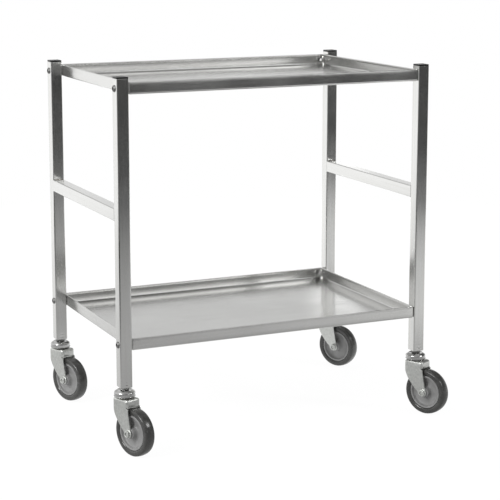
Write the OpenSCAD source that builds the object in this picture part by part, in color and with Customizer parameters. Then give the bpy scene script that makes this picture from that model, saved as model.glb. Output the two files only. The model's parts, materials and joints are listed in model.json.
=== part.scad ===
// Instrument cart: four square-tube uprights, two bolted pan trays and four swivel casters.
// Millimetres, +Z up, -Y is the front. The origin is on the floor, under the middle of the whole cart.

/* [Frame] */
// Overall width over the uprights
frame_w = 700; // [500:10:1000]
// Overall depth over the uprights
frame_d = 442; // [350:2:600]
// Height of the cart, floor to cap tops
cart_h = 760; // [600:5:1000]
// Side of the square tube
tube = 25.4; // [22:0.2:32]
// Wall of the square tube
tube_wall = 1.5; // [1:0.1:2.5]
// Outer corner radius of the square tube
tube_r = 2.2; // [1.6:0.1:3]
// Thickness of the cap that shows on each upright
cap_t = 3.4; // [2:0.2:6]
// Height of the underside of the side rails
rail_z = 473; // [300:1:600]

/* [Trays] */
// Height of the upper tray's rim
upper_rim_z = 750; // [650:1:900]
// Height of the lower tray's rim
lower_rim_z = 237; // [190:1:300]
// Height of a tray's rim above its underside
rim_h = 25; // [20:1:40]
// Thickness of the tray sheet
sheet = 1.2; // [0.8:0.1:2]
// Outer radius of the tray's folds
fold_r = 4; // [3:0.5:8]
// How far the front and back rims stand behind the uprights' faces
rim_setback = 2; // [0:0.5:6]
// Height of the hem folded inside the rim's top
hem_h = 4.5; // [3:0.5:6]

/* [Tray bolts] */
// Thread diameter of the tray bolts
bolt_d = 6; // [5:1:8]
// Diameter of the bolts' low round heads
bolt_head_d = 14; // [12:0.5:18]
// Height of the bolts' heads
bolt_head_h = 3.2; // [2:0.2:5]
// Size of the hexagonal sockets in the heads, over their flats
bolt_socket = 5; // [3:0.5:6]
// Distance of the bolts below the rim's top
bolt_drop = 12.8; // [11:0.2:16]

/* [Casters] */
// Diameter of the wheels
wheel_d = 98; // [80:1:125]
// Width of the tyres
tyre_w = 23; // [18:1:32]
// Height of each caster, floor to the tube's end
caster_h = 137; // [115:1:170]
// Distance of the axle from the swivel's axis
trail = 31; // [24:1:45]
// Half of the width over the fork's legs
fork_half = 17.5; // [15:0.5:24]
// Thickness of the fork's steel
fork_t = 2.5; // [2:0.1:4]
// How far each caster is turned: front left, front right, back left, back right
swivels = [20, 27, 22, 29]; // [0:1:359]

/* [Hidden] */
$fn = 64;

// The uprights' axes
px = (frame_w - tube) / 2;
py = (frame_d - tube) / 2;
CORNERS = [[-px, -py], [px, -py], [-px, py], [px, py]];
tube_top = cart_h - cap_t;
post_l = tube_top - caster_h;
bore_w = tube - 2 * tube_wall;

// Trays fill the space between the uprights
tray_w = frame_w - 2 * tube;
tray_d = frame_d - 2 * rim_setback;
upper_bolt_z = upper_rim_z - bolt_drop;
lower_bolt_z = lower_rim_z - bolt_drop;
BOLT_ZS = [upper_bolt_z, lower_bolt_z];
bolt_hole_d = bolt_d + 0.4;
socket_depth = 2;
washer_t = 1.2;
washer_r = 7.2;
nut_flats = 10;
nut_hex_h = 5.5;
nut_neck_h = 1.8;
nut_dome_r = 4.75;
nut_bore_h = 8;
bolt_in_nut = 7;
hex_to_corner = 2 / sqrt(3);

// Caps
cap_plug_h = 14;
cap_plug_w = bore_w - 0.6;
cap_plug_wall = 2;
cap_plug_r = 0.6;

// Caster levels, from the floor up
wheel_r = wheel_d / 2;
rim_r = 37;
crown_top = caster_h - 20;
crown_t = 2.8;
crown_bottom = crown_top - crown_t;
cup_bottom = crown_top + 1.4;
cup_top = caster_h - 6;
nut_top = caster_h - 0.6;
insert_top = caster_h + 42;
stem_top = caster_h + 34;

// Swivel: kingpin, ball ring and upper cup
pin_r = 6;
run_fit = 0.05;
cup_r = 22;
cup_wall = 2.4;
ball_r = 3;
ball_ring_r = 16;
ball_count = 15;
ball_clear = 0.15;
ball_z = crown_top + ball_clear + ball_r;
cup_shoulder = 5.2;
pin_head_r = 10;
pin_head_t = 2.6;
pin_head_gap = 0.2;
stem_nut_flats = 17;

// Fork outline, in the plane of a leg: distance forward of the swivel's axis, height. A leg is a
// plate that narrows to a round end, which holds the axle below and in front of its middle
crown_front = 27.5;
crown_back = -17.5;
crown_r = 5;
skirt_h = 9.9;
skirt_bottom = crown_bottom - skirt_h;
eye_r = 10.5;
eye = [27.5, 51];
leg_back = [[crown_back + crown_r, crown_top], [-16.8, 111], [-17.4, 104], [-16.4, 95.5], [-12.6, 86],
  [-6.4, 75], [3.4, 63]];
leg_front = [[33.6, 68], [30.4, 84], [crown_front - 0.8, skirt_bottom - 2.6],
  [crown_front - crown_r, crown_top]];

// Axle and wheel
axle_r = 4;
sleeve_r = 6;
leg_gap = 2 * (fork_half - fork_t);
hub_end_gap = 0.3;
hub_half = leg_gap / 2 - hub_end_gap;
boss_r = 11.5;
web_half = 2.6;
web_r = 29;
rim_half = 9.6;
rim_inner_r = 34;
axle_flats = 13;
axle_head_t = 5.2;
axle_nut_h = 6.6;
axle_nut_flange_r = 8.8;
axle_nut_flange_t = 1.3;
axle_recess = 1.6;
tread_crown = 0.8;

// Offset from the middle of the frame to the middle of the whole cart: the tyres reach out at the
// front and on the right, the swivel cups at the back and on the left
tyre_shoulder = 4;
tread_half = (tyre_w - tyre_shoulder) / 2;
swing = trail + wheel_r;
reach_right = swing * sin(swivels[3]) + tread_half * cos(swivels[3]);
reach_front = swing * cos(swivels[0]) + tread_half * sin(swivels[0]);
mid_x = (reach_right - cup_r) / 2;
mid_y = (cup_r - reach_front) / 2;

POSTS = ["fl", "fr", "bl", "br"];

// ---- helpers -------------------------------------------------------------

// Rectangle w by d with corner radius r, centred
module rounded_rect(w, d, r) {
  square([w - 2 * r, d], center = true);
  square([w, d - 2 * r], center = true);
  for (x = [-1, 1], y = [-1, 1])
    translate([x * (w / 2 - r), y * (d / 2 - r)]) circle(r, $fn = 32);
}

module rounded_square(s, r) {
  rounded_rect(s, s, r);
}

// Hollow square tube along +Z, from the origin up
module square_tube(l) {
  linear_extrude(l) difference() {
    rounded_square(tube, tube_r);
    rounded_square(bore_w, tube_r - tube_wall);
  }
}

// Moves a shape from the frame's middle to the cart's origin
module placed() {
  translate([-mid_x, -mid_y, 0]) children();
}

// Hexagonal prism along +Z, measured over its flats
module hex(flats, h) {
  cylinder(r = flats / 2 * hex_to_corner, h = h, $fn = 6);
}

// Repeats a fastener at the eight tray bolts, with its +X axis pointing into the cart
module at_tray_bolts() {
  for (c = CORNERS, z = BOLT_ZS)
    placed() translate([c[0], c[1], z])
      rotate([0, 0, c[0] < 0 ? 0 : 180]) translate([-tube / 2, 0, 0]) children();
}

// Turns a shape drawn along +Z so that it runs along +X
module along_x() {
  rotate([0, 90, 0]) children();
}

// One corner's place on the floor
module at_corner(i) {
  placed() translate([CORNERS[i][0], CORNERS[i][1], 0]) children();
}

// The same, turned with the caster: the wheel lies toward -Y and its axle along X
module at_caster(i) {
  at_corner(i) rotate([0, 0, swivels[i]]) children();
}

// Axle centre, inside at_caster
module at_axle() {
  translate([0, -trail, wheel_r]) children();
}

// Quarter circle from straight up round to the right, in steps of that many degrees
function shoulder_arc(centre, r, step) = [for (a = [90:-step:0]) centre + r * [cos(a), sin(a)]];

// One side of a turned profile, and its mirror image after it
function both_sides(side) = concat(side, [for (k = [len(side) - 1:-1:0]) [side[k][0], -side[k][1]]]);

// ---- frame ---------------------------------------------------------------

// Upright, drilled across for the bolts of both trays
module post(i) {
  color("silver") at_corner(i) difference() {
    translate([0, 0, caster_h]) square_tube(post_l);
    for (z = BOLT_ZS)
      translate([-tube, 0, z]) along_x() cylinder(d = bolt_hole_d, h = 2 * tube);
  }
}

// Flat plastic cap with a plug that fills the top of the tube
module cap(i) {
  color("dimgray") at_corner(i) translate([0, 0, tube_top]) {
    linear_extrude(cap_t) rounded_square(tube, tube_r);
    // The plug stops above the tray bolt
    translate([0, 0, -cap_plug_h]) linear_extrude(cap_plug_h) difference() {
      rounded_square(cap_plug_w, cap_plug_r);
      rounded_square(cap_plug_w - 2 * cap_plug_wall, cap_plug_r);
    }
  }
}

// Side rail between a front and a back upright: side is -1 for the left, 1 for the right
module rail(side) {
  color("silver") placed() translate([side * px, -frame_d / 2 + tube, rail_z + tube / 2])
    rotate([-90, 0, 0]) square_tube(frame_d - 2 * tube);
}

// ---- trays ---------------------------------------------------------------

// Block w by d with its base, upright corners and base edges rounded to r, open straight at the top
module pan_block(w, d, h, r) {
  x = w / 2 - r;
  y = d / 2 - r;
  translate([-x, -y, 0]) cube([2 * x, 2 * y, h]);
  translate([-w / 2, -y, r]) cube([w, 2 * y, h - r]);
  translate([-x, -d / 2, r]) cube([2 * x, d, h - r]);
  for (sx = [-1, 1], sy = [-1, 1]) {
    translate([sx * x, sy * y, r]) cylinder(r = r, h = h - r, $fn = 32);
    translate([sx * x, sy * y, r]) sphere(r, $fn = 32);
  }
  for (sy = [-1, 1])
    translate([-x, sy * y, r]) along_x() cylinder(r = r, h = 2 * x, $fn = 32);
  for (sx = [-1, 1])
    translate([sx * x, -y, r]) rotate([-90, 0, 0]) cylinder(r = r, h = 2 * y, $fn = 32);
}

// Folded pan with its rim hemmed inward and four bolt holes in its side rims
module tray(rim_z) {
  color("gainsboro") placed() translate([0, 0, rim_z - rim_h]) difference() {
    pan_block(tray_w, tray_d, rim_h, fold_r);
    translate([0, 0, sheet])
      pan_block(tray_w - 2 * sheet, tray_d - 2 * sheet, rim_h - hem_h - sheet, fold_r - sheet);
    translate([0, 0, rim_h / 2])
      pan_block(tray_w - 4 * sheet, tray_d - 4 * sheet, rim_h, fold_r - 2 * sheet);
    for (c = CORNERS)
      translate([0, c[1], rim_h - bolt_drop]) along_x()
        translate([0, 0, c[0] < 0 ? -tray_w : 0]) cylinder(d = bolt_hole_d, h = tray_w);
  }
}

// ---- tray fasteners ------------------------------------------------------

// Low round heads with a hexagonal socket, and shanks that cross the upright and the tray's rim
module tray_bolts() {
  color("gray") at_tray_bolts() difference() {
    union() {
      translate([-bolt_head_h, 0, 0]) along_x() rotate_extrude() polygon([
        [0, 0], [bolt_head_d * 0.28, 0], [bolt_head_d * 0.42, bolt_head_h * 0.4],
        [bolt_head_d / 2, bolt_head_h * 0.72], [bolt_head_d / 2, bolt_head_h], [0, bolt_head_h]]);
      along_x() cylinder(d = bolt_d, h = tube + sheet + washer_t + bolt_in_nut);
    }
    translate([-bolt_head_h - 1, 0, 0]) along_x() hex(bolt_socket, socket_depth + 1);
  }
}

module tray_washers() {
  color("silver") at_tray_bolts() translate([tube + sheet, 0, 0]) along_x() difference() {
    cylinder(r = washer_r, h = washer_t);
    translate([0, 0, -1]) cylinder(d = bolt_d, h = washer_t + 2);
  }
}

// Dome nuts inside the trays' rims: a hexagon, a short neck and a dome over a blind bore
module tray_nuts() {
  color("silver") at_tray_bolts() translate([tube + sheet + washer_t, 0, 0]) along_x() difference() {
    union() {
      hex(nut_flats, nut_hex_h);
      cylinder(r = nut_dome_r, h = nut_hex_h + nut_neck_h);
      translate([0, 0, nut_hex_h + nut_neck_h]) intersection() {
        sphere(nut_dome_r);
        cylinder(r = nut_dome_r, h = nut_dome_r);
      }
    }
    translate([0, 0, -1]) cylinder(d = bolt_d, h = nut_bore_h + 1);
  }
}

// ---- casters -------------------------------------------------------------

// Steel plug in the foot of the upright that takes the caster's stem
module insert(i) {
  color("darkgray") at_corner(i) translate([0, 0, nut_top]) linear_extrude(insert_top - nut_top)
    difference() {
      rounded_square(bore_w, tube_r - tube_wall);
      circle(pin_r);
    }
}

// Locking nuts between the cups and the uprights
module stem_nuts() {
  color("lightgray") for (i = [0:3]) at_corner(i) translate([0, 0, cup_top]) difference() {
    hex(stem_nut_flats, nut_top - cup_top);
    translate([0, 0, -1]) cylinder(r = pin_r, h = nut_top);
  }
}

// Stem and kingpin in one: the fork turns on it, between its head and the cup
module kingpin(i) {
  head_top = crown_bottom - pin_head_gap;
  color("silver") at_corner(i) {
    translate([0, 0, head_top]) cylinder(r = pin_r, h = stem_top - head_top);
    translate([0, 0, head_top - pin_head_t]) cylinder(r = pin_head_r, h = pin_head_t);
  }
}

// Fixed upper cup of the swivel, which covers the balls
module cup(i) {
  track_z = ball_z + ball_r + ball_clear;
  color("lightgray") at_corner(i) rotate_extrude() polygon(concat(
    [[pin_r, track_z], [pin_r, cup_top]],
    shoulder_arc([cup_r - cup_shoulder, cup_top - cup_shoulder], cup_shoulder, 15),
    [[cup_r, cup_bottom], [cup_r - cup_wall, cup_bottom], [cup_r - cup_wall, track_z]]));
}

// Ball ring between the cup and the fork's crown
module balls(i) {
  color("white") at_corner(i) for (k = [0:ball_count - 1])
    rotate([0, 0, k * 360 / ball_count]) translate([ball_ring_r, 0, ball_z]) sphere(ball_r, $fn = 24);
}

// Outline of one leg, seen along the axle: x is forward of the swivel's axis, y is height
module leg_outline() {
  eye_back = eye + eye_r * [cos(142), sin(142)];
  eye_front = eye + eye_r * [cos(12), sin(12)];
  polygon(concat(leg_back, [eye_back, eye, eye_front], leg_front));
  translate(eye) circle(eye_r);
}

// Plan of the crown, seen from above with the trail toward -Y. Inset shrinks it on every side
module crown_plan(inset) {
  translate([0, -(crown_front + crown_back) / 2])
    rounded_rect(2 * (fork_half - inset), crown_front - crown_back - 2 * inset, crown_r - inset);
}

// Pressed steel fork: crown, two legs, and a short skirt that stiffens the crown's front and back
module fork(i) {
  color("lightgray") at_caster(i) difference() {
    union() {
      translate([0, 0, crown_bottom]) linear_extrude(crown_t) crown_plan(0);
      // skirt
      translate([0, 0, skirt_bottom]) linear_extrude(crown_top - skirt_bottom) difference() {
        crown_plan(0);
        crown_plan(fork_t);
      }
      // legs
      for (s = [-1, 1])
        translate([s * (fork_half - fork_t / 2) - fork_t / 2, 0, 0])
          rotate([90, 0, -90]) mirror([0, 0, 1]) linear_extrude(fork_t) leg_outline();
    }
    translate([0, 0, crown_bottom - 1]) cylinder(r = pin_r + run_fit, h = crown_t + 2);
    translate([-tube, -trail, wheel_r]) along_x() cylinder(r = axle_r, h = 2 * tube);
  }
}

// Hexagon-headed axle bolt, whose tail ends inside the nut
module axle_bolt(i) {
  tail_x = -fork_half - axle_nut_h + axle_recess;
  color("silver") at_caster(i) at_axle() {
    translate([fork_half, 0, 0]) along_x() hex(axle_flats, axle_head_t);
    translate([tail_x, 0, 0]) along_x() cylinder(r = axle_r, h = fork_half - tail_x);
  }
}

// Flanged nut on the left of the wheel
module axle_nut(i) {
  color("silver") at_caster(i) at_axle() translate([-fork_half, 0, 0]) rotate([0, 180, 0]) along_x()
    difference() {
      union() {
        hex(axle_flats, axle_nut_h);
        cylinder(r = axle_nut_flange_r, h = axle_nut_flange_t);
      }
      translate([0, 0, -1]) cylinder(r = axle_r, h = axle_nut_h + 2);
    }
}

// Steel sleeve clamped between the legs, on which the hub runs
module sleeve(i) {
  color("silver") at_caster(i) at_axle() translate([-leg_gap / 2, 0, 0]) along_x() difference() {
    cylinder(r = sleeve_r, h = leg_gap);
    translate([0, 0, -1]) cylinder(r = axle_r, h = leg_gap + 2);
  }
}

// Dished plastic wheel centre: a boss, a thin web and the rim that carries the tyre
module hub(i) {
  color("darkgray") at_caster(i) at_axle() along_x() rotate_extrude() polygon(both_sides([
    [sleeve_r + run_fit, hub_half], [boss_r - 1, hub_half], [boss_r, hub_half - 1],
    [boss_r + 1, web_half + 3], [boss_r + 4, web_half], [web_r, web_half + 1],
    [rim_inner_r - 0.5, rim_half - 1], [rim_inner_r, rim_half], [rim_r, rim_half]]));
}

// Tyre with rounded shoulders and a slightly crowned tread
module tyre(i) {
  half = tyre_w / 2;
  color("dimgray") at_caster(i) at_axle() along_x() rotate_extrude($fn = 96) polygon(both_sides(concat(
    [[rim_r, half - 1.6], [rim_r + 1.4, half - 0.3], [rim_r + 4, half]],
    shoulder_arc([wheel_r - tread_crown - tyre_shoulder, half - tyre_shoulder], tyre_shoulder, 18),
    [[wheel_r, half * 0.35]])));
}

// ---- parts ---------------------------------------------------------------

for (i = [0:3]) {
  post(i);
  cap(i);
  insert(i);
  kingpin(i);
  cup(i);
  balls(i);
  fork(i);
  axle_bolt(i);
  axle_nut(i);
  sleeve(i);
  hub(i);
  tyre(i);
}
rail(-1);  // rail_left
rail(1);  // rail_right
tray(upper_rim_z);  // tray_upper
tray(lower_rim_z);  // tray_lower
tray_bolts();
tray_washers();
tray_nuts();
stem_nuts();
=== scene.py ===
"""Instrument cart: the looks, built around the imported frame. Metres, +Z up, -Y is the cart's front."""

import json
import math

import bmesh
import bpy
from mathutils import Matrix, Vector


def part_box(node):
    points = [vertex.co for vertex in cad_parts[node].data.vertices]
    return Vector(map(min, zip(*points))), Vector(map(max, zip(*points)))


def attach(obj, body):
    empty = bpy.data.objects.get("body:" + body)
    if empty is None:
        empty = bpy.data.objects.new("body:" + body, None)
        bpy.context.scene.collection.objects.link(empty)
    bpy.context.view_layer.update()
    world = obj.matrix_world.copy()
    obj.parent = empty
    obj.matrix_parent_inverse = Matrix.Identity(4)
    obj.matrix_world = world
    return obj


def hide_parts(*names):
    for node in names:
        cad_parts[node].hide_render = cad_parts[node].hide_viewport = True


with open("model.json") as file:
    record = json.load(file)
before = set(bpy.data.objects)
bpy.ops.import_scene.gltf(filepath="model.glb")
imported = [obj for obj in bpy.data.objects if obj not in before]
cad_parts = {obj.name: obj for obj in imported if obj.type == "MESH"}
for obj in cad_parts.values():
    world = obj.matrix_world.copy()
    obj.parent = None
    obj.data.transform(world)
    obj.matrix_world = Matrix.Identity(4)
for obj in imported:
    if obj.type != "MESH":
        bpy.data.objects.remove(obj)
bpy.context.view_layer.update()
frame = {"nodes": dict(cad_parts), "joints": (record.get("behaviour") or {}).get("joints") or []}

MM = 0.001
WHERE = ("fl", "fr", "bl", "br")
JOINTS = {j["name"]: j for j in frame["joints"]}


# ---- shapes ----------------------------------------------------------------

def arc(centre, radius, start, end, steps):
    """Points on an arc in a plane, from start to end in degrees, both ends included."""
    turns = [math.radians(start + (end - start) * k / steps) for k in range(steps + 1)]
    return [(centre[0] + radius * math.cos(a), centre[1] + radius * math.sin(a)) for a in turns]


def smooth(x, low, high):
    """0 below low, 1 above high, with a soft step between."""
    t = min(max((x - low) / (high - low), 0), 1)
    return t * t * (3 - 2 * t)


def loft(rings, close_ring=True, start_face=False, end_face=False, close_loft=False):
    """Vertices and faces of a skin over rings that all have the same number of points."""
    count = len(rings[0])
    verts = [Vector(p) for ring in rings for p in ring]
    faces = []
    last = len(rings) if close_loft else len(rings) - 1
    for r in range(last):
        a, b = r * count, (r + 1) % len(rings) * count
        for i in range(count if close_ring else count - 1):
            j = (i + 1) % count
            faces.append((a + i, a + j, b + j, b + i))
    if start_face:
        faces.append(tuple(reversed(range(count))))
    if end_face:
        faces.append(tuple(range((len(rings) - 1) * count, len(rings) * count)))
    return verts, faces


def circle_ring(radius, height, steps):
    return [(radius * math.cos(2 * math.pi * k / steps), radius * math.sin(2 * math.pi * k / steps), height)
            for k in range(steps)]


def lathe(profile, steps=64, closed=False):
    """A turned shape about Z from (radius, height) points. A radius of 0 becomes a point."""
    rings = [circle_ring(max(r, 1e-7), z, steps) for r, z in profile]
    return loft(rings, close_loft=closed)


def hexagon_radius(angle, flats):
    """Distance from the centre to a hexagon's side at that angle."""
    sector = math.radians(60)
    return flats / 2 / math.cos((angle % sector) - sector / 2)


def hexagon_ring(flats, height, steps, chamfer=0.0, up=1, chamfer_from=None):
    """A ring round a hexagonal prism. With a chamfer slope it dips at the corners as a turned chamfer does."""
    ring = []
    for k in range(steps):
        a = 2 * math.pi * k / steps
        r = hexagon_radius(a, flats)
        start = flats / 2 * 0.97 if chamfer_from is None else chamfer_from
        ring.append((r * math.cos(a), r * math.sin(a), height - up * chamfer * (r - start)))
    return ring


def rounded_outline(width, depth, radius, corner_steps=6, along=1, across=1):
    """Points round a rectangle with rounded corners, anticlockwise from the middle of the right-hand side."""
    x, y = width / 2 - radius, depth / 2 - radius
    points = []
    for k, (cx, cy) in enumerate(((x, y), (-x, y), (-x, -y), (x, -y))):
        points += arc((cx, cy), radius, 90 * k, 90 * k + 90, corner_steps)
        # the points between this corner and the next
        straight = along if k % 2 == 0 else across
        nx, ny = ((-x, y), (-x, -y), (x, -y), (x, y))[k]
        turn = math.radians(90 * k + 90)
        for s in range(1, straight):
            f = s / straight
            points.append((cx + (nx - cx) * f + radius * math.cos(turn), cy + (ny - cy) * f + radius * math.sin(turn)))
    return points


def rounded_ring(width, depth, radius, height, **steps):
    return [(x, y, height) for x, y in rounded_outline(width, depth, max(radius, 1e-6), **steps)]


class Shape:
    """Collects vertices and faces, then becomes one Blender piece."""

    def __init__(self):
        self.verts, self.faces = [], []

    def add(self, skin, place=None):
        verts, faces = skin
        start = len(self.verts)
        self.verts += [place @ v if place else v for v in verts]
        self.faces += [tuple(start + i for i in f) for f in faces]
        return self

    def piece(self, name, material, body, replaces=(), sharp=32, weld=2e-6):
        mesh = bpy.data.meshes.new(name)
        bm = bmesh.new()
        made = [bm.verts.new(v) for v in self.verts]
        for f in self.faces:
            bm.faces.new([made[i] for i in f])
        bmesh.ops.remove_doubles(bm, verts=bm.verts, dist=weld)
        bmesh.ops.dissolve_degenerate(bm, edges=bm.edges, dist=weld)
        bmesh.ops.recalc_face_normals(bm, faces=bm.faces)
        bm.to_mesh(mesh)
        bm.free()
        for polygon in mesh.polygons:
            polygon.use_smooth = True
        mesh.set_sharp_from_angle(angle=math.radians(sharp))
        mesh.materials.append(material)
        obj = bpy.data.objects.new(name, mesh)
        bpy.context.scene.collection.objects.link(obj)
        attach(obj, body)
        if replaces:
            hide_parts(*replaces)
        return obj


# ---- materials -------------------------------------------------------------


class Nodes:
    """A short way to write a material's node tree."""

    def __init__(self, name, slot):
        self.material = bpy.data.materials.new(name)
        self.material.use_nodes = True
        self.tree = self.material.node_tree
        self.shader = self.tree.nodes["Principled BSDF"]
        self.place = self.new("ShaderNodeTexCoord").outputs["Object"]

    def new(self, kind, **settings):
        node = self.tree.nodes.new(kind)
        for key, value in settings.items():
            setattr(node, key, value)
        return node

    def link(self, a, b):
        self.tree.links.new(a, b)

    def noise(self, scale, stretch=(1, 1, 1), detail=3.0, rough=0.5, seed=0.0):
        """Noise of that many cells per metre, stretched along the axes where stretch is small."""
        mapping = self.new("ShaderNodeMapping")
        mapping.inputs["Scale"].default_value = stretch
        mapping.inputs["Location"].default_value = (seed, seed * 0.7, seed * 1.3)
        self.link(self.place, mapping.inputs["Vector"])
        noise = self.new("ShaderNodeTexNoise")
        noise.inputs["Scale"].default_value = scale
        noise.inputs["Detail"].default_value = detail
        noise.inputs["Roughness"].default_value = rough
        self.link(mapping.outputs["Vector"], noise.inputs["Vector"])
        return noise.outputs["Fac"]

    def ramp(self, value, low, high, from_low=0.3, from_high=0.7):
        """Maps a noise value onto a range, clamped."""
        node = self.new("ShaderNodeMapRange")
        node.inputs["From Min"].default_value = from_low
        node.inputs["From Max"].default_value = from_high
        node.inputs["To Min"].default_value = low
        node.inputs["To Max"].default_value = high
        self.link(value, node.inputs["Value"])
        return node.outputs["Result"]

    def mix(self, factor, a, b):
        """A colour between a and b."""
        node = self.new("ShaderNodeMix", data_type="RGBA")
        for key, value in ((6, a), (7, b)):
            if isinstance(value, tuple):
                node.inputs[key].default_value = (*value, 1)
            else:
                self.link(value, node.inputs[key])
        self.link(factor, node.inputs[0])
        return node.outputs[2]

    def add(self, a, b, operation="ADD"):
        node = self.new("ShaderNodeMath", operation=operation)
        for key, value in ((0, a), (1, b)):
            if isinstance(value, (int, float)):
                node.inputs[key].default_value = value
            else:
                self.link(value, node.inputs[key])
        return node.outputs[0]

    def bump(self, height, strength, distance, under=None):
        node = self.new("ShaderNodeBump")
        node.inputs["Strength"].default_value = strength
        node.inputs["Distance"].default_value = distance
        self.link(height, node.inputs["Height"])
        if under is not None:
            self.link(under, node.inputs["Normal"])
        return node.outputs["Normal"]

    def surface(self, colour=None, rough=None, normal=None, **fixed):
        for key, value in (("Base Color", colour), ("Roughness", rough), ("Normal", normal)):
            if value is not None:
                self.link(value, self.shader.inputs[key])
        for key, value in fixed.items():
            self.shader.inputs[key.replace("_", " ")].default_value = value
        return self.material


def brushed_steel(name, slot, grain, colour=0.62, rough=0.2, spread=0.5, uneven=0.02):
    """Stainless steel brushed along one axis: 0 is X, 1 is Y, 2 is Z."""
    n = Nodes(name, slot)
    fine = [1.0, 1.0, 1.0]
    fine[grain] = 0.012
    streak = [1.0, 1.0, 1.0]
    streak[grain] = 0.03
    hair = n.noise(1400, tuple(fine), detail=4, rough=0.7)
    streaks = n.noise(160, tuple(streak), detail=3, rough=0.6, seed=3.1)
    cloud = n.noise(9, (1, 1, 1), detail=2, seed=7.7)
    low, high = colour * (1 - uneven), colour * (1 + uneven)
    shade = n.mix(n.ramp(streaks, 0, 1, 0.35, 0.65), (low, low, low * 0.975), (high, high, high * 0.985))
    roughness = n.add(n.ramp(hair, rough - 0.04, rough + 0.05, 0.3, 0.7), n.ramp(cloud, -0.02, 0.03))
    normal = n.bump(hair, 0.1, 0.00005, under=n.bump(streaks, 0.02, 0.0001))
    across = n.new("ShaderNodeTangent", direction_type="RADIAL", axis="XYZ"[grain])
    n.link(across.outputs["Tangent"], n.shader.inputs["Tangent"])
    return n.surface(shade, roughness, normal, Metallic=1.0, Anisotropic=spread)


def zinc_plate(name="zinc_plating", slot="zinc", colour=(0.56, 0.57, 0.55), rough=0.35):
    """Bright zinc over pressed sheet: faint mottling, fine pitting."""
    n = Nodes(name, slot)
    mottle = n.noise(240, detail=5, rough=0.65, seed=1.7)
    stain = n.noise(40, detail=3, seed=4.4)
    pits = n.noise(1500, detail=2, seed=9.1)
    shade = n.mix(n.ramp(mottle, 0, 1, 0.35, 0.68), tuple(c * 0.84 for c in colour), tuple(c * 1.08 for c in colour))
    roughness = n.add(n.ramp(mottle, rough - 0.06, rough + 0.08), n.ramp(stain, -0.03, 0.05))
    normal = n.bump(pits, 0.12, 0.00008, under=n.bump(mottle, 0.1, 0.0002))
    return n.surface(shade, roughness, normal, Metallic=1.0)


def turned_steel(name="fastener_steel", slot="bolt_steel", colour=(0.21, 0.21, 0.205), rough=0.4):
    """Plain fastener steel with a little tarnish."""
    n = Nodes(name, slot)
    tarnish = n.noise(380, detail=4, seed=2.2)
    fine = n.noise(2500, detail=2, seed=6.0)
    shade = n.mix(n.ramp(tarnish, 0, 1), tuple(c * 0.8 for c in colour), tuple(c * 1.1 for c in colour))
    return n.surface(shade, n.ramp(tarnish, rough - 0.06, rough + 0.1), n.bump(fine, 0.1, 0.00005), Metallic=1.0)


def painted_socket_shade(name="socket_painted_shade", slot="bolt_steel"):
    """Painted shade for the inside of a bolt's socket: a near-black colour, faintly mottled, that stands for the shade
    deep in the recess.
    """
    n = Nodes(name, slot)
    shade_mottle = n.noise(900, detail=3, seed=1.4)
    shade = n.mix(n.ramp(shade_mottle, 0, 1), (0.004, 0.004, 0.004), (0.012, 0.012, 0.012))
    return n.surface(shade, n.ramp(shade_mottle, 0.5, 0.7), None, Specular_IOR_Level=0.15)


def bright_zinc(name="bright_zinc", slot="zinc", colour=(0.46, 0.46, 0.455), rough=0.2):
    """Polished zinc on turned and rolled pieces: glossy, with faint cloudiness."""
    n = Nodes(name, slot)
    cloud = n.noise(300, detail=4, rough=0.6, seed=3.3)
    fine = n.noise(2200, detail=2, seed=7.2)
    shade = n.mix(n.ramp(cloud, 0, 1), tuple(c * 0.86 for c in colour), tuple(c * 1.06 for c in colour))
    return n.surface(shade, n.ramp(cloud, rough - 0.04, rough + 0.07), n.bump(fine, 0.06, 0.00005), Metallic=1.0)


def polished_steel(name="greased_balls", slot="ball_steel"):
    """Bearing balls under a film of grease."""
    n = Nodes(name, slot)
    film = n.noise(600, detail=2, seed=5.0)
    shade = n.mix(n.ramp(film, 0, 1), (0.5, 0.47, 0.4), (0.72, 0.72, 0.72))
    return n.surface(shade, n.ramp(film, 0.08, 0.25), None, Metallic=1.0)


def black_plastic(name="black_polyethylene", slot="cap_plastic"):
    """Moulded black polyethylene with a fine leather-like grain."""
    n = Nodes(name, slot)
    grain = n.noise(2200, detail=3, seed=1.0)
    scuff = n.noise(90, (1, 1, 1), detail=5, rough=0.7, seed=8.0)
    shade = n.mix(n.ramp(scuff, 0, 1, 0.45, 0.75), (0.002, 0.002, 0.002), (0.007, 0.007, 0.007))
    return n.surface(shade, n.ramp(scuff, 0.28, 0.42), n.bump(grain, 0.12, 0.0001), Specular_IOR_Level=0.22)


def grey_plastic(name="grey_polypropylene", slot="hub_plastic"):
    """Grey moulded polypropylene, slightly cloudy, with dust in its grain."""
    n = Nodes(name, slot)
    cloud = n.noise(70, detail=4, seed=3.0)
    grain = n.noise(1800, detail=3, seed=5.5)
    shade = n.mix(n.ramp(cloud, 0, 1), (0.215, 0.215, 0.213), (0.282, 0.282, 0.28))
    return n.surface(shade, n.ramp(cloud, 0.38, 0.5), n.bump(grain, 0.15, 0.0001), Specular_IOR_Level=0.45)


def rubber(name="soft_rubber", slot="tyre_rubber"):
    """Dark grey thermoplastic rubber, slightly glossy on the tread and dusty in its pores."""
    n = Nodes(name, slot)
    dust = n.noise(60, detail=5, rough=0.65, seed=2.6)
    pore = n.noise(1500, detail=3, seed=4.9)
    shade = n.mix(n.ramp(dust, 0, 1, 0.4, 0.75), (0.036, 0.036, 0.0345), (0.058, 0.058, 0.055))
    return n.surface(shade, n.ramp(dust, 0.16, 0.34), n.bump(pore, 0.12, 0.0001), Specular_IOR_Level=0.55)


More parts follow.
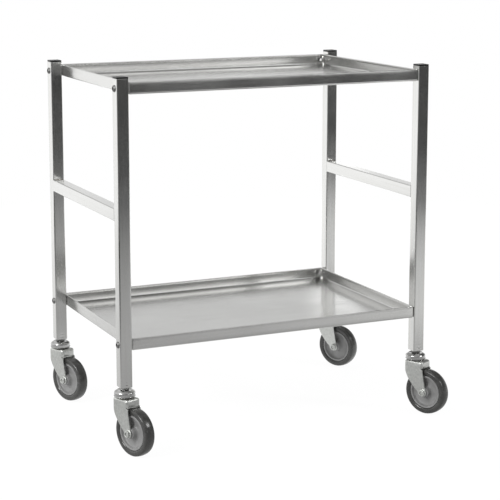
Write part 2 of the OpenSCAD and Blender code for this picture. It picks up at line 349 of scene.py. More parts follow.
STEEL_X = brushed_steel("stainless_along_x", "tray_sheet", 0, colour=0.6, rough=0.18, spread=0.5)
STEEL_Y = brushed_steel("stainless_along_y", "stainless", 1)
STEEL_Z = brushed_steel("stainless_along_z", "stainless", 2)
WELD = turned_steel("weld_metal", "stainless", colour=(0.3, 0.29, 0.27), rough=0.38)
ZINC = zinc_plate()
DULL_ZINC = zinc_plate("dull_zinc", rough=0.52)
BRIGHT = bright_zinc()
FASTENER = turned_steel()
# painted shade for the bolt sockets: a near-black material standing for the shade in the recess
SOCKET_SHADE = painted_socket_shade()
BALLS = polished_steel()
CAP = black_plastic()
HUB = grey_plastic()
TYRE = rubber()


# ---- frame -----------------------------------------------------------------

TUBE_RADIUS = 2.2 * MM
TUBE_WALL = 1.5 * MM
# across the upright's face, height, depth, half width, half height
CRIMPS = [[v * MM for v in crimp] for crimp in ((0.4, 6, 0.4, 3.2, 1.1), (0.4, 12.5, 0.3, 2.0, 1.1))]


def tube_rings(side, wall, stations):
    """Rings of a square tube: up its outside, over its edge and down its inside."""
    return [rounded_ring(side - 2 * inset, side - 2 * inset, TUBE_RADIUS - inset, z, along=12, across=4)
            for inset, z in stations]


def upright(where):
    """Square upright with two shallow crimps near its foot, on the side that faces the front."""
    low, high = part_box("post_" + where)
    side, length = high.x - low.x, high.z - low.z
    edge = 0.25 * MM
    heights = [edge + k * 0.75 * MM for k in range(26)] + [length * f for f in (0.1, 0.4, 0.7, 0.9)]
    outer = [(0, z) for z in heights] + [(0, length - 0.6 * MM), (0.45 * MM, length)]
    inner = [(TUBE_WALL, length), (TUBE_WALL, 30 * MM), (TUBE_WALL, edge), (TUBE_WALL - edge, 0), (edge, 0)]
    rings = tube_rings(side, TUBE_WALL, outer + inner)
    for ring in rings[:len(outer)]:
        for i, (x, y, z) in enumerate(ring):
            if y < -side / 2 + 1e-6:
                dent = sum(depth * math.exp(-((x - at_x) / wide) ** 2 - ((z - at_z) / tall) ** 2)
                           for at_x, at_z, depth, wide, tall in CRIMPS)
                ring[i] = (x, y + dent, z)
    middle = Matrix.Translation(((low.x + high.x) / 2, (low.y + high.y) / 2, low.z))
    return Shape().add(loft(rings, close_loft=True), middle).piece(
        "upright_" + where, STEEL_Z, "frame", ["post_" + where])


def end_cap(where):
    """Flat moulded cap with softened edges, and the plug below it."""
    low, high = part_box("cap_" + where)
    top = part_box("post_" + where)[1].z
    side, thick, round_over = high.x - low.x, high.z - top, 0.6 * MM
    rings = [rounded_ring(side - 8 * MM, side - 8 * MM, 1 * MM, low.z - top),
             rounded_ring(side - 4 * MM, side - 4 * MM, 1 * MM, low.z - top + 1 * MM),
             rounded_ring(side - 4 * MM, side - 4 * MM, 1 * MM, 0.01 * MM),
             rounded_ring(side - 1.0 * MM, side - 1.0 * MM, TUBE_RADIUS, 0.02 * MM),
             rounded_ring(side - 0.5 * MM, side - 0.5 * MM, TUBE_RADIUS, 0.3 * MM)]
    for inset, height in arc((round_over + 0.25 * MM, thick - round_over), round_over, 180, 90, 5):
        rings.append(rounded_ring(side - 2 * inset, side - 2 * inset, TUBE_RADIUS, height))
    rings.append(rounded_ring(side - 7 * MM, side - 7 * MM, 1.5 * MM, thick - 0.02 * MM))
    rings.append(rounded_ring(side - 8 * MM, side - 8 * MM, 1.2 * MM, thick - 0.15 * MM))
    middle = Matrix.Translation(((low.x + high.x) / 2, (low.y + high.y) / 2, top))
    return Shape().add(loft(rings, start_face=True, end_face=True), middle).piece(
        "end_cap_" + where, CAP, "frame", ["cap_" + where])


def side_rail(which):
    """Square rail between the uprights, with the weld beads that hold it."""
    low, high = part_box("rail_" + which)
    side, length = high.z - low.z, high.y - low.y
    rings = tube_rings(side, TUBE_WALL, [(0, 0), (0, length / 2), (0, length), (TUBE_WALL, length), (TUBE_WALL, 0)])
    start = Vector(((low.x + high.x) / 2, low.y, (low.z + high.z) / 2))
    along = Matrix.Translation(start) @ Matrix.Rotation(math.radians(-90), 4, "X")
    rail = Shape().add(loft(rings, close_loft=True), along).piece(
        "side_rail_" + which, STEEL_Y, "frame", ["rail_" + which])
    beads = Shape()
    for y, inward in ((low.y, 1), (high.y, -1)):
        for z, outward in ((low.z, -1), (high.z, 1)):
            beads.add(weld_bead(Vector((start.x, y, z)), side - 2 * TUBE_RADIUS, inward, outward))
    beads.piece("rail_welds_" + which, WELD, "frame", sharp=70)
    return rail


def weld_bead(at, length, inward, outward):
    """Fillet bead along X in the corner between an upright and a rail, rippled by the weld pool."""
    stations = 44
    rings = []
    for k in range(stations + 1):
        f = k / stations
        x = at.x + (f - 0.5) * length
        ends = min(1, 5 * f, 5 * (1 - f)) ** 0.5 if 0 < f < 1 else 0.25
        size = (2.2 + 0.35 * math.sin(k * 1.9)) * MM * ends
        ring = [(x, at.y - inward * 0.3 * MM, at.z - outward * 0.3 * MM)]
        ring += [(x, at.y + inward * size * c, at.z + outward * size * s) for c, s in arc((0.04, 0.04), 0.9, 0, 90, 6)]
        rings.append(ring)
    return loft(rings, start_face=True, end_face=True)


def tray(which, seed):
    """Folded pan: flat bottom, bent corners, and a rim whose edge is hemmed inward."""
    low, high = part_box("tray_" + which)
    width, depth, rim = high.x - low.x, high.y - low.y, high.z - low.z
    sheet, fold, hem, hem_height = 1.2 * MM, 4 * MM, 2.9 * MM, 5 * MM
    section = [(inset, z) for inset, z in arc((fold, fold), fold, 270, 180, 7)]
    section += [(0, fold + (rim - fold) * f) for f in (0.3, 0.6)]
    section += arc((hem / 2, rim - hem / 2), hem / 2, 180, 0, 10)
    section += [(hem, rim - hem_height), (hem - 0.3 * MM, rim - hem_height - 0.3 * MM),
                (sheet + 0.15 * MM, rim - hem_height - 0.35 * MM), (sheet, rim - hem_height - 0.9 * MM)]
    section += [(sheet, fold + 4 * MM)]
    section += arc((fold, fold), fold - sheet, 180, 270, 6)
    along, across = 30, 20
    rings = [rounded_ring(width - 2 * inset, depth - 2 * inset, fold - inset, z, corner_steps=8, along=along,
                          across=across) for inset, z in section]
    shape = Shape().add(loft(rings))
    # the flat of the pan, inside the folds, is never quite flat
    half_x, half_y = width / 2 - fold, depth / 2 - fold
    for base in (0, sheet):
        grid = [[(half_x * (2 * i / along - 1), half_y * (2 * j / across - 1), base
                  + pan_wave(2 * i / along - 1, 2 * j / across - 1, seed)) for i in range(along + 1)]
                for j in range(across + 1)]
        shape.add(loft(grid, close_ring=False))
    middle = Matrix.Translation(((low.x + high.x) / 2, (low.y + high.y) / 2, low.z))
    shape.verts = [middle @ v for v in shape.verts]
    return shape.piece("pan_tray_" + which, STEEL_X, "frame", ["tray_" + which], weld=20e-6)


def pan_wave(u, v, seed):
    """Height of the pan's slight buckling, from -1 to 1 each way and nothing at the folds."""
    edge = (1 - u * u) * (1 - v * v)
    return edge * 0.35 * MM * (math.sin(2.6 * u + seed) * math.cos(2.1 * v - seed) + 0.4 * math.sin(5.2 * u + 4.3 * v))


# ---- fasteners -------------------------------------------------------------

BOLT_HEAD, BOLT_HEAD_HEIGHT, BOLT_SOCKET = 14 * MM, 3.2 * MM, 5 * MM
NUT_FLATS, NUT_HEX, NUT_NECK, NUT_DOME = 10 * MM, 5.5 * MM, 1.8 * MM, 4.75 * MM
WASHER_RADIUS, WASHER_THICK = 7.2 * MM, 1.2 * MM


def bolt_head():
    """Low flanged head with a hexagonal socket, pointing along +Z from its seat."""
    steps, r, h = 48, BOLT_HEAD / 2, BOLT_HEAD_HEIGHT
    rings = [circle_ring(1e-7, 0.5 * MM, steps), hexagon_ring(BOLT_SOCKET, 0.6 * MM, steps),
             hexagon_ring(BOLT_SOCKET, h - 0.45 * MM, steps), circle_ring(3.3 * MM, h, steps)]
    dome = [(r_ * MM, h - drop * MM) for r_, drop in (
        (3.6, 0.01), (4.4, 0.08), (5.0, 0.25), (5.5, 0.6), (5.85, 1.1), (6.05, 1.6), (6.4, 2.0))]
    rim = arc((r - 0.45 * MM, 0.55 * MM), 0.45 * MM, 80, 0, 4) + [(r, 0.1 * MM), (r - 0.15 * MM, 0)]
    rings += [circle_ring(a, b, steps) for a, b in dome + rim + [(3.0 * MM, 0)]]
    return loft(rings)


def socket_shade_liner():
    """Skin over the socket's floor, sides and countersink, just clear of the head's own. It carries painted shade: its
    near-black colour stands for the shade inside the socket.
    """
    steps, clear = 48, 0.02 * MM
    return loft([circle_ring(1e-7, 0.5 * MM + clear, steps), hexagon_ring(BOLT_SOCKET - 2 * clear, 0.62 * MM, steps),
                 hexagon_ring(BOLT_SOCKET - 2 * clear, BOLT_HEAD_HEIGHT - 0.43 * MM, steps),
                 circle_ring(3.3 * MM, BOLT_HEAD_HEIGHT + clear / 2, steps)])


def washer(inner, outer, thick):
    soft = min(0.2 * MM, thick / 4)
    return lathe([(inner, 0), (outer - soft, 0), (outer, soft), (outer, thick - soft), (outer - soft, thick),
                  (inner, thick)], 48, closed=True)


def chamfered_nut(flats, height, bore, steps=72, flange=None, bottom_chamfer=True):
    """Hexagonal nut with turned chamfers, along +Z. flange is (radius, thickness)."""
    slope, start = 0.5, flats / 2 * 0.96
    top = [hexagon_ring(flats, height, steps, slope, 1, start), circle_ring(start, height, steps),
           circle_ring(bore + 0.5 * MM, height, steps), circle_ring(bore, height - 0.5 * MM, steps)]
    if flange:
        radius, thick = flange
        foot = [circle_ring(bore, 0, steps), circle_ring(radius - 0.2 * MM, 0, steps),
                circle_ring(radius, 0.25 * MM, steps), circle_ring(radius, thick * 0.6, steps),
                circle_ring(radius - 0.35 * MM, thick * 0.85, steps)]
        foot += [[(p[0], p[1], thick + 0.5 * MM) for p in hexagon_ring(flats, 0, steps)]]
    elif bottom_chamfer:
        foot = [circle_ring(bore, 0, steps), circle_ring(start, 0, steps),
                hexagon_ring(flats, 0, steps, slope, -1, start)]
    else:
        foot = [circle_ring(bore, 0, steps), hexagon_ring(flats, 0, steps)]
    return loft(foot + top, close_loft=True)


def dome_nut():
    """Cap nut along +Z from its seat: chamfered hexagon, neck groove and dome."""
    steps, height, radius = 48, NUT_HEX, NUT_DOME
    start = NUT_FLATS / 2 * 0.96
    rings = [circle_ring(3 * MM, 0, steps), circle_ring(start, 0, steps),
             hexagon_ring(NUT_FLATS, 0, steps, 0.5, -1, start), hexagon_ring(NUT_FLATS, height, steps, 0.5, 1, start),
             circle_ring(radius, height, steps), circle_ring(radius - 0.3 * MM, height + 0.2 * MM, steps),
             circle_ring(radius - 0.25 * MM, height + 0.9 * MM, steps), circle_ring(radius, height + 1.2 * MM, steps)]
    rings += [circle_ring(max(a, 1e-7), b, steps) for a, b in arc((0, height + NUT_NECK), radius, 0, 90, 9)]
    return loft(rings, start_face=True)


def tray_fasteners():
    """The eight tray bolts with their washers and dome nuts, placed from the uprights and the trays' rims."""
    heads, sockets, washers, nuts = Shape(), Shape(), Shape(), Shape()
    bolts_low, bolts_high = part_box("tray_bolts")
    half = BOLT_HEAD / 2
    wash_low, wash_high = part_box("tray_washers")
    for where in WHERE:
        low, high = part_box("post_" + where)
        y = (low.y + high.y) / 2
        left = where[1] == "l"
        face = low.x if left else high.x
        seat = wash_low.x if left else wash_high.x
        nut_seat = seat + (WASHER_THICK if left else -WASHER_THICK)
        for z, turn in ((bolts_low.z + half, 14), (bolts_high.z - half, 37)):
            out = -90 if left else 90
            spin = Matrix.Rotation(math.radians(turn + 23 * WHERE.index(where)), 4, "Z")
            outward = Matrix.Translation((face, y, z)) @ Matrix.Rotation(math.radians(out), 4, "Y") @ spin
            heads.add(bolt_head(), outward)
            sockets.add(socket_shade_liner(), outward)
            inward = Matrix.Rotation(math.radians(-out), 4, "Y")
            washers.add(washer(3.1 * MM, WASHER_RADIUS, WASHER_THICK), Matrix.Translation((seat, y, z)) @ inward)
            nuts.add(dome_nut(), Matrix.Translation((nut_seat, y, z)) @ inward @ spin)
    heads.piece("tray_bolt_heads", FASTENER, "frame", ["tray_bolts"])
    # the socket liners are a dark sheet of painted shade, put where the sockets are only in shade
    sockets.piece("tray_bolt_socket_shade", SOCKET_SHADE, "frame")
    washers.piece("tray_bolt_washers", BRIGHT, "frame", ["tray_washers"])
    nuts.piece("tray_dome_nuts", BRIGHT, "frame", ["tray_nuts"])


# ---- casters ---------------------------------------------------------------

def caster_places(where):
    """Matrices for one caster: about its swivel on the floor, and about its axle with the axle along Z."""
    turn, roll = JOINTS["turn_" + where], JOINTS["roll_" + where]
    axle = Vector(roll["axis"]).normalized()
    angle = math.atan2(axle.y, axle.x)
    swivel = Vector(turn["pos_m"])
    on_floor = Matrix.Translation((swivel.x, swivel.y, 0)) @ Matrix.Rotation(angle, 4, "Z")
    wheel = Matrix.Translation(Vector(roll["pos_m"])) @ Matrix.Rotation(angle, 4, "Z") @ Matrix.Rotation(
        math.radians(90), 4, "Y")
    return on_floor, wheel


def swivel_head(where, on_floor):
    """Upper cup and the kingpin's head under the fork's crown."""
    low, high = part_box("cup_" + where)
    r = (high.x - low.x) / 2
    top, bottom = high.z, low.z
    bulge = 4.5 * MM
    outside = [(7.5 * MM, top - 0.5 * MM), (11.8 * MM, top - 0.5 * MM), (12.6 * MM, top - 0.1 * MM), (15.6 * MM, top)]
    outside += arc((r - bulge - 0.5 * MM, top - 6.2 * MM), bulge, 68, -8, 8)
    # a short waist, then the lip's rounded edge
    outside += [(r - 1.0 * MM, bottom + 2.6 * MM), (r - 1.1 * MM, bottom + 1.6 * MM)]
    outside += arc((r - 0.6 * MM, bottom + 0.6 * MM), 0.6 * MM, 75, -70, 5)
    inside = [(r - 2.2 * MM, bottom), (r - 2.6 * MM, bottom + 1 * MM), (r - 3.2 * MM, top - 8 * MM),
              (r - 6 * MM, top - 4.6 * MM), (12 * MM, top - 2.4 * MM), (7.5 * MM, top - 2.4 * MM)]
    Shape().add(lathe(outside + inside, 72, closed=True), on_floor).piece(
        "swivel_cup_" + where, BRIGHT, "frame", ["cup_" + where])
    pin_low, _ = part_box("kingpin_" + where)
    head = [(1e-7, 0.25 * MM), (5.5 * MM, 0.2 * MM), (8.2 * MM, 0.25 * MM), (9.6 * MM, 0.9 * MM), (10 * MM, 1.7 * MM),
            (9.8 * MM, 2.6 * MM), (6 * MM, 2.6 * MM), (6 * MM, 60 * MM), (5 * MM, 61 * MM), (1e-7, 61 * MM)]
    place = on_floor @ Matrix.Translation((0, 0, pin_low.z))
    top_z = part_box("kingpin_" + where)[1].z - pin_low.z
    head = [(r_, min(z_, top_z)) for r_, z_ in head]
    Shape().add(lathe(head, 48), place).piece("kingpin_stem_" + where, ZINC, "frame", ["kingpin_" + where])


def stem_lock_nuts():
    """The four locking nuts between the cups and the uprights."""
    low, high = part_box("stem_nuts")
    nuts = Shape()
    for k, where in enumerate(WHERE):
        spot = JOINTS["turn_" + where]["pos_m"]
        turn = Matrix.Rotation(math.radians(11 + 17 * k), 4, "Z")
        nuts.add(chamfered_nut(17 * MM, high.z - low.z, 6.05 * MM),
                 Matrix.Translation((spot[0], spot[1], low.z)) @ turn)
    nuts.piece("stem_lock_nuts", FASTENER, "frame", ["stem_nuts"])


FORK_HALF, FORK_SHEET = 17.5 * MM, 2.5 * MM
FORK_FRONT, FORK_BACK = 27.5 * MM, -17.5 * MM
FORK_BEND, FORK_CORNER = 4.5 * MM, 5 * MM
SKIRT = 15 * MM
CROWN_RISE = 0.9 * MM
# A leg's edges below the skirt: height above the floor, distance forward of the swivel's axis
LEG_BACK = [(104.3, -17.5), (96, -16.6), (86, -12.6), (75, -6.4), (63, 3.4), (52, 14)]
LEG_FRONT = [(104.3, 27), (84, 30.4), (68, 33.6), (52, 36.6)]
EYE_RADIUS = 10.5 * MM
# The eye's centre, behind and above the axle
EYE_SHIFT = (-3.5 * MM, 2 * MM)


def along_edge(points, height):
    """Distance forward on a smooth curve through an edge's points, at a height in metres."""
    z = height / MM
    k = max([0] + [i for i in range(len(points) - 1) if points[i][0] >= z])
    before, start, end, after = (points[min(max(i, 0), len(points) - 1)] for i in range(k - 1, k + 3))
    span = start[0] - end[0]
    t = (start[0] - z) / span

    def slope(a, b):
        return (b[1] - a[1]) / (a[0] - b[0]) * span if a != b else end[1] - start[1]

    s0, s1 = slope(before, end), slope(start, after)
    blend = ((2 * t - 3) * t * t + 1) * start[1] + ((t - 2) * t + 1) * t * s0
    return MM * (blend + (3 - 2 * t) * t * t * end[1] + (t - 1) * t * t * s1)


def leg_edges(height, skirt_bottom, eye):
    """How far forward a leg's back and front edges are at a height, with its rounded eye at the foot."""
    back, front = along_edge(LEG_BACK, height), along_edge(LEG_FRONT, height)
    # a short fillet under the skirt's front corner
    front_side = FORK_FRONT - FORK_CORNER
    front = front_side + (front - front_side) * smooth(skirt_bottom - height, 0, 3.5 * MM)
    eye_u, eye_z = eye
    round_from = eye_z + EYE_RADIUS * 0.3
    if height < round_from:
        reach = math.sqrt(max(EYE_RADIUS ** 2 - min(height - eye_z, 0) ** 2, 0))
        blend = smooth(round_from - height, 0, EYE_RADIUS * 0.45)
        back = back * (1 - blend) + (eye_u - reach) * blend
        front = front * (1 - blend) + (eye_u + reach) * blend
    return back, front


def leg_row(side, back, front, height, side_steps, wrap_steps):
    """Points across a leg at one height, front to back. Behind the flat it wraps round the fork's back corner."""
    flat_end = max(back, FORK_BACK + FORK_CORNER)
    row = [(side, front + (flat_end - front) * k / side_steps, height) for k in range(side_steps + 1)]
    turn = math.asin(min(max(flat_end - back, 0) / FORK_CORNER, 1))
    for k in range(1, wrap_steps + 1):
        a = turn * k / wrap_steps
        inward = math.copysign(FORK_CORNER * (1 - math.cos(a)), side)
        row.append((side - inward, flat_end - FORK_CORNER * math.sin(a), height))
    return row


def fork_skin(crown_top, eye):
    """One pressed sheet: a flat crown with a raised ring, bent down into a short skirt and two long legs."""
    side_steps, corner_steps, front_steps = 10, 5, 6
    half, corner = FORK_HALF, FORK_CORNER
    back_side, front_side = FORK_BACK + corner, FORK_FRONT - corner
    # outline of the bend's foot, seen from above as (across, forward), starting at the left leg's back edge
    left = [(-half, back_side + (front_side - back_side) * k / side_steps) for k in range(side_steps + 1)]
    turn_left = arc((-half + corner, front_side), corner, 180, 90, corner_steps)[1:]
    front = [(-half + corner + (2 * half - 2 * corner) * k / front_steps, FORK_FRONT) for k in range(1, front_steps)]
    turn_right = arc((half - corner, front_side), corner, 90, 0, corner_steps)
    right = [(half, front_side + (back_side - front_side) * k / side_steps) for k in range(1, side_steps + 1)]
    turn_back = arc((half - corner, back_side), corner, 0, -90, corner_steps)[1:]
    back = [(half - corner - (2 * half - 2 * corner) * k / front_steps, FORK_BACK) for k in range(1, front_steps)]
    turn_home = arc((-half + corner, back_side), corner, 270, 180, corner_steps)[:-1]
    outline = left + turn_left + front + turn_right + right + turn_back + back + turn_home
    middle = (FORK_FRONT + FORK_BACK) / 2

    def inset(point, amount):
        """The outline's point moved inward, by scaling about the crown's middle line."""
        across, forward = point
        k_a = (half - amount) / half
        k_f = (FORK_FRONT - middle - amount) / (FORK_FRONT - middle)
        return across * k_a, middle + (forward - middle) * k_f

    rings = []
    # pressed ring round the kingpin: (radius, height above the crown)
    for radius, rise in ((6.1, 0), (8, 0), (9.2, 0.15), (10.1, 0.6), (11.2, 0.85), (12.3, 0.6), (13.1, 0.1)):
        ring = []
        for across, forward in outline:
            a = math.atan2(forward, across)
            ring.append((radius * MM * math.cos(a), radius * MM * math.sin(a), crown_top + rise * CROWN_RISE))
        rings.append(ring)
    for inset_by, drop in arc((FORK_BEND, FORK_BEND), FORK_BEND, 270, 180, 6):
        rings.append([(*inset(p, inset_by), crown_top - drop) for p in outline])
    rings.append([(*p, crown_top - (FORK_BEND + SKIRT) / 2) for p in outline])
    rings.append([(*p, crown_top - SKIRT) for p in outline])
    shape = Shape().add(loft(rings))
    # legs
    skirt_bottom = crown_top - SKIRT
    heights = [skirt_bottom - d * MM for d in (0, 0.8, 1.7, 2.6, 3.6, 6, 9, 12, 16, 20, 25, 30, 36, 42, 47)]
    heights = [z for z in heights if z > eye[1] + EYE_RADIUS * 0.35]
    heights += [eye[1] + EYE_RADIUS * s for s in (0.3, 0.1, -0.12, -0.35, -0.56, -0.74, -0.88, -0.97, -0.9999)]
    for side in (-half, half):
        rows = [leg_row(side, *leg_edges(z, skirt_bottom, eye), z, side_steps, corner_steps) for z in heights]
        shape.add(loft(rows, close_ring=False))
    # forward is -Y in the caster's own frame
    shape.verts = [Vector((v.x, -v.y, v.z)) for v in shape.verts]
    return shape


def fork(where, on_floor, wheel):
    axle = wheel.translation
    trail = -(on_floor.inverted() @ axle).y
    crown_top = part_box("fork_" + where)[1].z - CROWN_RISE
    shape = fork_skin(crown_top, (trail + EYE_SHIFT[0], axle.z + EYE_SHIFT[1]))
    shape.verts = [on_floor @ v for v in shape.verts]
    obj = shape.piece("pressed_fork_" + where, ZINC, "swivel_" + where, ["fork_" + where], sharp=50, weld=10e-6)
    face = max(obj.data.polygons, key=lambda p: p.center.z)
    if face.normal.z < 0:
        obj.data.flip_normals()
    sheet = obj.modifiers.new("sheet", "SOLIDIFY")
    sheet.thickness = FORK_SHEET
    sheet.offset = -1
    sheet.use_even_offset = True
    edge = obj.modifiers.new("edge", "BEVEL")
    edge.width = 0.35 * MM
    edge.segments = 2
    edge.limit_method = "ANGLE"
    edge.angle_limit = math.radians(50)
    return obj


def axle_parts(where, wheel):
    """Flanged nut on the left of the wheel, with the bolt's end sunk in it, and the bolt's head on the right."""
    out_left = wheel @ Matrix.Translation((0, 0, -FORK_HALF)) @ Matrix.Rotation(math.pi, 4, "X")
    nut = chamfered_nut(13 * MM, 6.6 * MM, 4.0 * MM, flange=(8.8 * MM, 1.4 * MM))
    spin = Matrix.Rotation(math.radians(19), 4, "Z")
    Shape().add(nut, out_left @ spin).piece("flange_nut_" + where, DULL_ZINC, "swivel_" + where, ["axle_nut_" + where])
    steps, head = 72, 5.2 * MM
    start = 6.2 * MM
    rings = [circle_ring(1e-7, head - 0.3 * MM, steps), circle_ring(4.6 * MM, head - 0.3 * MM, steps),
             circle_ring(5.0 * MM, head, steps), circle_ring(start, head, steps),
             hexagon_ring(13 * MM, head, steps, 0.5, 1, start), hexagon_ring(13 * MM, 0.4 * MM, steps),
             circle_ring(6.2 * MM, 0.38 * MM, steps), circle_ring(6.1 * MM, 0, steps), circle_ring(4 * MM, 0, steps)]
    tail = -(2 * FORK_HALF + 5 * MM)
    rings += [circle_ring(4 * MM, tail + 0.6 * MM, steps), circle_ring(3.3 * MM, tail, steps),
              circle_ring(1e-7, tail, steps)]
    Shape().add(loft(rings), wheel @ Matrix.Translation((0, 0, FORK_HALF))).piece(
        "hex_bolt_" + where, DULL_ZINC, "swivel_" + where, ["axle_bolt_" + where])


def wheel_parts(where, wheel):
    """Dished hub with a raised rim ring and a boss, and the tyre round it."""
    side = [(6.05, -14.7), (10.2, -14.7), (11.0, -14.2), (11.3, -13.2), (12.0, -7.5), (13.2, -4.6), (15.4, -3.2),
            (18.5, -2.9), (24.5, -3.3), (28.3, -4.2), (30.4, -5.6), (31.4, -7.4), (31.9, -9.2), (32.5, -9.95),
            (33.4, -10.2), (34.9, -10.2), (35.6, -9.9), (35.9, -9.3), (36.2, -8.6), (36.9, -8.4)]
    profile = [(r * MM, z * MM) for r, z in side] + [(r * MM, -z * MM) for r, z in reversed(side)]
    Shape().add(lathe(profile, 96, closed=True), wheel).piece("wheel_centre_" + where, HUB, "wheel_" + where,
                                                             ["hub_" + where], sharp=40)
    low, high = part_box("tyre_" + where)
    radius = (high.z - low.z) / 2
    half = 11.5 * MM
    wall = [(36.3 * MM, -8.3 * MM), (36.5 * MM, -9.3 * MM), (37.2 * MM, -10.1 * MM), (38.6 * MM, -10.9 * MM),
            (40.5 * MM, -11.35 * MM), (42.5 * MM, -half)]
    shoulder = arc((radius - 4.8 * MM, half - 4 * MM), 4 * MM, 84, 8, 7)
    tread = [(radius - 0.3 * MM, 5 * MM), (radius, 1.6 * MM)]
    wall += [(r, -z) for r, z in shoulder + tread]
    profile = wall + [(r, -z) for r, z in reversed(wall)]
    Shape().add(lathe(profile, 128, closed=True), wheel).piece("tyre_ring_" + where, TYRE, "wheel_" + where,
                                                              ["tyre_" + where], sharp=50)


# ---- build -----------------------------------------------------------------

for place in WHERE:
    upright(place)
    end_cap(place)
for place in ("left", "right"):
    side_rail(place)
tray("upper", 0.4)
tray("lower", 2.1)
tray_fasteners()
stem_lock_nuts()
for place in WHERE:
    floor_place, wheel_place = caster_places(place)
    swivel_head(place, floor_place)
    fork(place, floor_place, wheel_place)
    axle_parts(place, wheel_place)
    wheel_parts(place, wheel_place)
for place in WHERE:
    for kind, material in (("balls_", BALLS), ("insert_", ZINC), ("sleeve_", FASTENER)):
        node = frame["nodes"][kind + place]
        node.data.materials.clear()
        node.data.materials.append(material)


# ---- camera, floor and light -------------------------------------------------

AZIMUTH, PITCH, DISTANCE = math.radians(-24.62), math.radians(10.06), 3.477
post_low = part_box("post_fl")[0]
post_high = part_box("post_br")[1]
AIM = Vector((post_low.x + 0.3851, (post_low.y + post_high.y) / 2, post_low.z + 0.309))
away = Vector((-math.sin(AZIMUTH) * math.cos(PITCH), math.cos(AZIMUTH) * math.cos(PITCH), -math.sin(PITCH)))
camera = bpy.data.objects.new("camera", bpy.data.cameras.new("camera"))
bpy.context.scene.collection.objects.link(camera)
camera.location = AIM - away * DISTANCE
camera.rotation_euler = away.to_track_quat("-Z", "Y").to_euler()
camera.data.lens = 114.45
camera.data.shift_y = -0.09
camera.data.clip_end = 60
bpy.context.scene.camera = camera


def floor_disc(radius=2.7):
    """Pale, softly glowing studio floor. What the metal sees of it is brighter toward the back and the right."""
    n = Nodes("floor", "stage")
    parts = n.new("ShaderNodeSeparateXYZ")
    n.link(n.place, parts.inputs[0])
    slope = n.add(n.add(parts.outputs["X"], 0.38, "MULTIPLY"), n.add(parts.outputs["Y"], 0.32, "MULTIPLY"))
    # the cart keeps some light off the floor in front of it
    spot = n.new("ShaderNodeMapping")
    spot.inputs["Location"].default_value = (-0.3 / 1.4, 0.45, 0)
    spot.inputs["Scale"].default_value = (1 / 1.4, 1, 1)
    n.link(n.place, spot.inputs["Vector"])
    from_middle = n.new("ShaderNodeVectorMath", operation="LENGTH")
    n.link(spot.outputs["Vector"], from_middle.inputs[0])
    shadow = n.ramp(from_middle.outputs["Value"], 0.58, 1.0, 0.25, 0.6)
    seen_by_metal = n.new("ShaderNodeEmission")
    n.link(n.add(n.add(slope, 0.93), shadow, "MULTIPLY"), seen_by_metal.inputs["Strength"])
    n.shader.inputs["Base Color"].default_value = (0.8, 0.8, 0.8, 1)
    n.shader.inputs["Roughness"].default_value = 0.9
    glow = n.new("ShaderNodeEmission")
    glow.inputs["Strength"].default_value = 1.04
    seen_by_camera = n.new("ShaderNodeMixShader")
    seen_by_camera.inputs[0].default_value = 0.92
    n.link(n.shader.outputs[0], seen_by_camera.inputs[1])
    n.link(glow.outputs[0], seen_by_camera.inputs[2])
    either = n.new("ShaderNodeMixShader")
    n.link(n.new("ShaderNodeLightPath").outputs["Is Camera Ray"], either.inputs[0])
    n.link(seen_by_metal.outputs[0], either.inputs[1])
    n.link(seen_by_camera.outputs[0], either.inputs[2])
    n.link(either.outputs[0], n.tree.nodes["Material Output"].inputs["Surface"])
    material = n.material
    verts, faces = lathe([(1e-7, 0), (radius, 0)], 96)
    mesh = bpy.data.meshes.new("floor")
    mesh.from_pydata(verts, [], faces)
    mesh.materials.append(material)
    obj = bpy.data.objects.new("floor", mesh)
    obj.location.z = -0.0002
    bpy.context.scene.collection.objects.link(obj)


def soft_light(name, at, aim, size, power, colour=(1, 1, 1)):
    light = bpy.data.lights.new(name, "AREA")
    light.shape = "RECTANGLE"
    light.size, light.size_y = size
    light.energy = power
    light.color = colour
    obj = bpy.data.objects.new(name, light)
    obj.location = at
    obj.rotation_euler = (Vector(aim) - Vector(at)).to_track_quat("-Z", "Y").to_euler()
    obj.visible_camera = False
    bpy.context.scene.collection.objects.link(obj)
    return obj


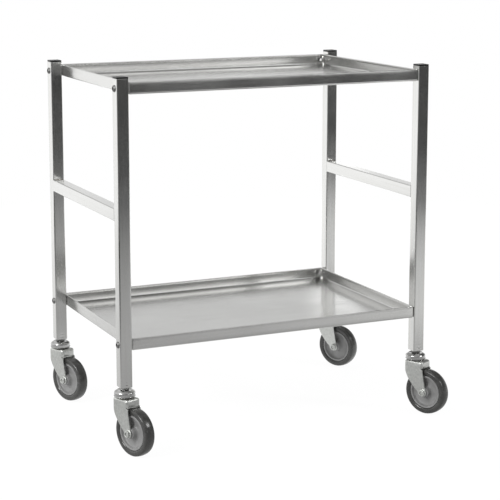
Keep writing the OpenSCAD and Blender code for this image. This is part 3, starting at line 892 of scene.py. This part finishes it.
def studio_world():
    """White to the camera. To everything else: bright behind and above, dark in front of the cart."""
    world = bpy.data.worlds.new("studio")
    bpy.context.scene.world = world
    world.use_nodes = True
    tree = world.node_tree
    nodes, links = tree.nodes, tree.links
    backdrop = nodes["Background"]
    backdrop.inputs["Color"].default_value = (1, 1, 1, 1)
    where = nodes.new("ShaderNodeTexCoord").outputs["Generated"]
    parts = nodes.new("ShaderNodeSeparateXYZ")
    links.new(where, parts.inputs[0])

    def spread(value, low, high, at_low, at_high):
        node = nodes.new("ShaderNodeMapRange")
        node.interpolation_type = "SMOOTHSTEP"
        node.inputs["From Min"].default_value = low
        node.inputs["From Max"].default_value = high
        node.inputs["To Min"].default_value = at_low
        node.inputs["To Max"].default_value = at_high
        links.new(value, node.inputs["Value"])
        return node.outputs["Result"]

    def maths(kind, a, b):
        node = nodes.new("ShaderNodeMath")
        node.operation = kind
        for key, value in ((0, a), (1, b)):
            if isinstance(value, (int, float)):
                node.inputs[key].default_value = value
            else:
                links.new(value, node.inputs[key])
        return node.outputs[0]

    behind = spread(parts.outputs["Y"], -0.5, 0.35, 0.06, 1.08)
    higher = spread(parts.outputs["Z"], 0.05, 0.45, 1.0, 0.45)
    left = spread(parts.outputs["X"], -0.9, 0.2, 0.4, 0.0)
    ceiling = spread(parts.outputs["Z"], 0.2, 0.8, 0.0, 0.45)
    front = spread(parts.outputs["Y"], -0.2, -0.6, 0.0, 1.0)
    left_side = spread(parts.outputs["X"], 0.1, 0.3, 0.35, 2.0)
    right_side = spread(parts.outputs["X"], 0.37, 0.46, 0.95, 1.6)
    far_right = spread(parts.outputs["X"], 0.48, 0.56, 1.0, 0.16)
    across = maths("MULTIPLY", maths("MULTIPLY", left_side, right_side), far_right)
    to_right = maths("MULTIPLY", front, across)
    low_window = maths("MULTIPLY", to_right, spread(parts.outputs["Z"], 0.04, 0.13, 0.0, 1.0))
    window = maths("MULTIPLY", low_window, spread(parts.outputs["Z"], 0.16, 0.34, 1.0, 0.1))
    # a dark panel overhead on the right
    panel = maths("MULTIPLY", spread(parts.outputs["X"], 0.43, 0.46, 0.0, 0.85),
                  spread(parts.outputs["Z"], 0.25, 0.4, 0.0, 1.0))
    overhead = maths("ADD", maths("MULTIPLY", behind, higher), ceiling)
    light = maths("ADD", maths("MULTIPLY", overhead, maths("SUBTRACT", 1.0, panel)), maths("ADD", left, window))
    links.new(light, backdrop.inputs["Strength"])
    seen = nodes.new("ShaderNodeBackground")
    seen.inputs["Strength"].default_value = 1.0
    seen.inputs["Color"].default_value = (1, 1, 1, 1)
    mix = nodes.new("ShaderNodeMixShader")
    links.new(nodes.new("ShaderNodeLightPath").outputs["Is Camera Ray"], mix.inputs[0])
    links.new(backdrop.outputs[0], mix.inputs[1])
    links.new(seen.outputs[0], mix.inputs[2])
    links.new(mix.outputs[0], nodes["World Output"].inputs["Surface"])


floor_disc()
studio_world()
soft_light("key_left", (-3.4, -1.2, 2.2), (0, 0, 0.35), (1.0, 0.9), 80)
soft_light("fill_right", (2.4, -2.1, 2.1), (0, 0, 0.3), (0.5, 0.5), 40)
soft_light("back_right", (2.0, 3.35, 0.95), (0.26, 0.1, 0.4), (0.25, 0.5), 0.3)
bpy.context.scene.view_settings.view_transform = "Standard"
